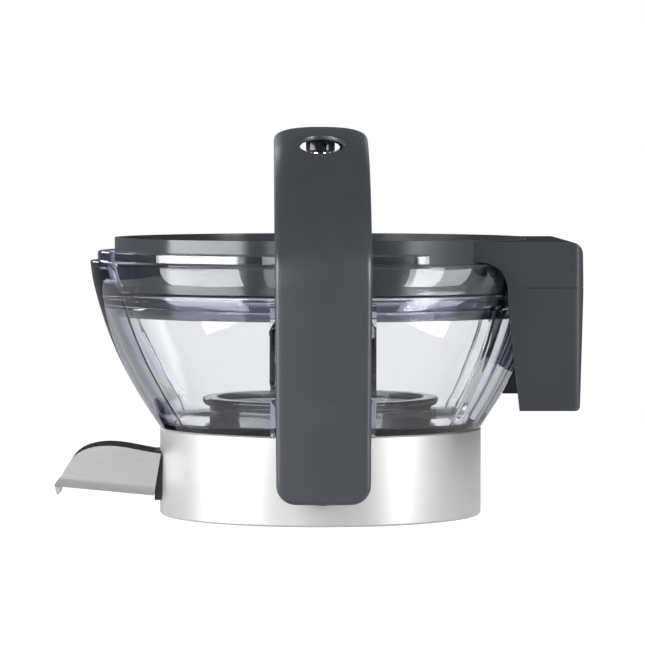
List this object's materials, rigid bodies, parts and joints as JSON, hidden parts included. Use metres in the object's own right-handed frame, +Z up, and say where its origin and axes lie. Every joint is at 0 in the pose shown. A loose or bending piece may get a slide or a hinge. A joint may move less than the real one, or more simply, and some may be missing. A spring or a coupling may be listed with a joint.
{
  "type": "citrus press juicer",
  "caption": "Citrus press juicer head: silver base ring, clear flared bowl with dark rim ring and handle, steel spout, and an arched press arm over a reamer.",
  "frame": {"origin": "centre of the base ring's open register, at its lower edge", "axes": "+Z up along the reamer, +X towards the handle, -X towards the spout, +Y to the rear leg of the press arm"},
  "size_m": [0.25, 0.244, 0.1865],
  "materials": {
    "base_silver": "satin",
    "black_plastic": "satin",
    "screw_steel": "polished",
    "gear_nylon": "matte",
    "bush_bronze": "satin",
    "seal_rubber": "matte",
    "smoke_plastic": "gloss",
    "clear_plastic": "polished",
    "dark_plastic": "satin",
    "arm_plastic": "satin",
    "spout_steel": "satin"
  },
  "bodies": {
    "base": {"base_chassis": "black_plastic", "base_ring": "base_silver", "bottom_plate": "black_plastic", "bottom_plate_screws": "screw_steel", "bowl": "clear_plastic", "bowl_gasket": "seal_rubber", "gearbox_cover": "black_plastic", "gearbox_cover_screws": "screw_steel", "idler_post": "screw_steel", "idler_retaining_ring": "screw_steel", "input_bush": "bush_bronze", "output_bush": "bush_bronze", "pivot_boss_front": "black_plastic", "pivot_boss_rear": "black_plastic", "pivot_boss_screws": "screw_steel", "pivot_pin_front": "screw_steel", "pivot_pin_rear": "screw_steel", "rim_ring": "dark_plastic", "rim_skirt": "smoke_plastic", "shaft_seal": "seal_rubber", "spout_bracket": "black_plastic", "spout_hinge_pin": "screw_steel", "strainer_collar": "smoke_plastic", "strainer_disc": "smoke_plastic"},
    "arm": {"press_arm": "arm_plastic", "arm_bush_front": "bush_bronze", "arm_bush_rear": "bush_bronze", "arm_centre_boss": "dark_plastic", "arm_boss_screw": "screw_steel"},
    "cone": {"reamer_cone": "smoke_plastic", "output_shaft": "screw_steel", "output_gear": "gear_nylon", "shaft_retaining_ring": "screw_steel"},
    "idler": {"idler_gear": "gear_nylon"},
    "drive_input": {"input_coupling": "gear_nylon", "input_retaining_ring": "screw_steel"},
    "spout": {"spout_trough": "spout_steel"}
  },
  "joints": [
    {"name": "arm_swing", "type": "hinge", "parent": "base", "child": "arm", "pos_m": [0, 0, 0.025], "axis": [0, -1, 0], "range_deg": [0, 85]},
    {"name": "spout_tilt", "type": "hinge", "parent": "base", "child": "spout", "pos_m": [-0.0835, 0, 0.0265], "axis": [0, 1, 0], "range_deg": [0, 28]},
    {"name": "cone_spin", "type": "hinge", "parent": "base", "child": "cone", "pos_m": [0, 0, 0.05], "axis": [0, 0, 1], "continuous": true},
    {"name": "idler_spin", "type": "hinge", "parent": "base", "child": "idler", "pos_m": [0, 0.024, 0.02], "axis": [0, 0, 1], "continuous": true},
    {"name": "input_spin", "type": "hinge", "parent": "base", "child": "drive_input", "pos_m": [0, 0, 0.01], "axis": [0, 0, 1], "continuous": true}
  ],
  "couplings": [
    {"joint": "idler_spin", "follows": "cone_spin", "ratio": -3},
    {"joint": "input_spin", "follows": "cone_spin", "ratio": 9}
  ]
}
